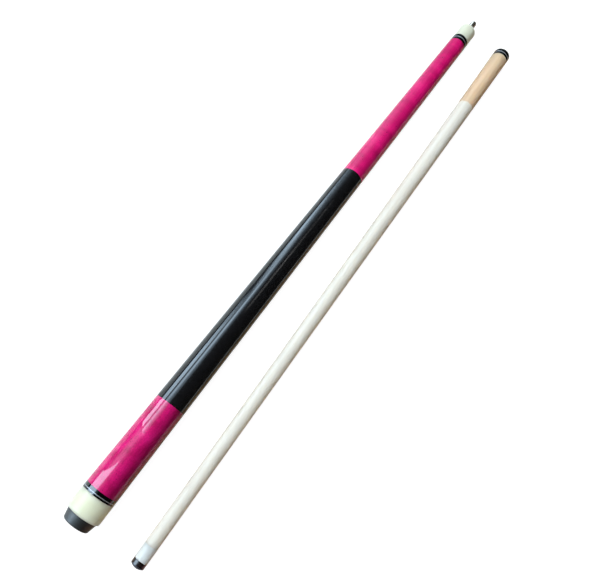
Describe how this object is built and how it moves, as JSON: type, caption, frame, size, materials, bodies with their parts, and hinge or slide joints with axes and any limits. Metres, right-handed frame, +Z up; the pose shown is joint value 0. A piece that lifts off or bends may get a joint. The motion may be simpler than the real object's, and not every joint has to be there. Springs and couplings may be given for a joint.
{
  "type": "two-piece pool cue",
  "caption": "Take-down pool cue as two unscrewed halves: stained butt with linen wrap and steel joint pin, and a maple shaft with ferrule and leather tip.",
  "frame": {"origin": "on the surface that the cue lies on, at the middle of its box", "axes": "+X along the butt from the bumper to the joint pin, +Z up, shaft on the -Y side"},
  "size_m": [0.7553, 0.0854, 0.0324],
  "materials": {
    "rubber": "satin moulded black rubber",
    "ivory_resin": "polished ivory-coloured resin",
    "black_resin": "polished black resin",
    "silver_ring": "polished",
    "pink_maple": "pink-stained figured maple under a thick gloss clear coat",
    "maple": "sanded and sealed hard maple, clear-coated near the joint",
    "linen": "black linen thread under gloss lacquer",
    "pin_steel": "bright turned steel",
    "bolt_steel": "plain turned steel",
    "brass": "turned brass",
    "leather": "pressed leather with a burnished side",
    "white_resin": "polished white resin"
  },
  "bodies": {
    "shaft": {"tip": "leather", "ferrule": "white_resin", "shaft_wood": "maple", "shaft_insert": "brass", "shaft_ring_inner": "black_resin", "shaft_ring_silver": "silver_ring", "shaft_ring_outer": "black_resin"},
    "weight_bolt": {"weight_bolt": "bolt_steel"},
    "joint_pin": {"joint_pin": "pin_steel"},
    "butt": {"butt_cap": "ivory_resin", "cap_ring_thin": "black_resin", "cap_ring_silver": "silver_ring", "cap_ring_wide": "black_resin", "butt_sleeve": "pink_maple", "handle_core": "maple", "linen_wrap": "linen", "a_joint_stud": "bolt_steel", "forearm": "pink_maple", "forearm_ring_rear": "black_resin", "forearm_ring_silver": "silver_ring", "forearm_ring_front": "black_resin", "joint_collar": "ivory_resin"},
    "bumper": {"bumper": "rubber"}
  },
  "joints": [
    {"name": "swing", "type": "hinge", "parent": "shaft", "child": "weight_bolt", "pos_m": [0.36949, -0.00159, 0.01087], "axis": [-0.0008, -0.0028, -1], "range_deg": [0, 179.5]},
    {"name": "advance", "type": "slide", "parent": "weight_bolt", "child": "joint_pin", "axis": [1, 0, -0.0075], "range_m": [0, 0.023]},
    {"name": "screw", "type": "hinge", "parent": "joint_pin", "child": "butt", "pos_m": [0.35763, 0.02651, 0.0108], "axis": [1, 0, -0.0075], "range_deg": [0, 5867.73]},
    {"name": "bumper_pull", "type": "slide", "parent": "butt", "child": "bumper", "axis": [-1, 0, 0.0075], "range_m": [0, 0.02]}
  ],
  "couplings": [
    {"joint": "screw", "follows": "advance", "rad_per_m": 4452.7}
  ]
}
